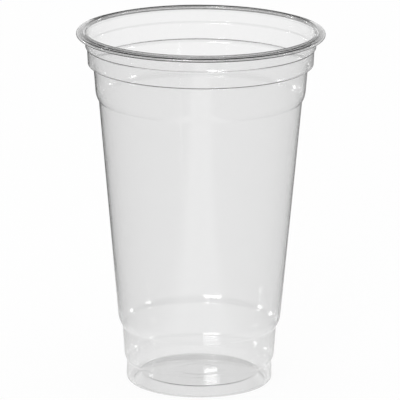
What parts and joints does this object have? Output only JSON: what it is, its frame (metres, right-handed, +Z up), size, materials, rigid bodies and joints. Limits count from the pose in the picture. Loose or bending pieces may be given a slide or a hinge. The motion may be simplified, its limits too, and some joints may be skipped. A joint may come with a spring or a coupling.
{
  "type": "plastic disposable cup",
  "caption": "Clear plastic cold-drink cup with a rolled rim, stepped tapering wall, stacking ledge and raised base.",
  "frame": {"origin": "centre of the flat ring that the cup stands on", "axes": "+Z up along the cup's axis, from the standing ring to the rim"},
  "size_m": [0.098, 0.098, 0.1425],
  "materials": {
    "clear_plastic": "clear, glossy thermoformed sheet"
  },
  "bodies": {
    "root": {"cup": "clear_plastic"}
  },
  "joints": []
}
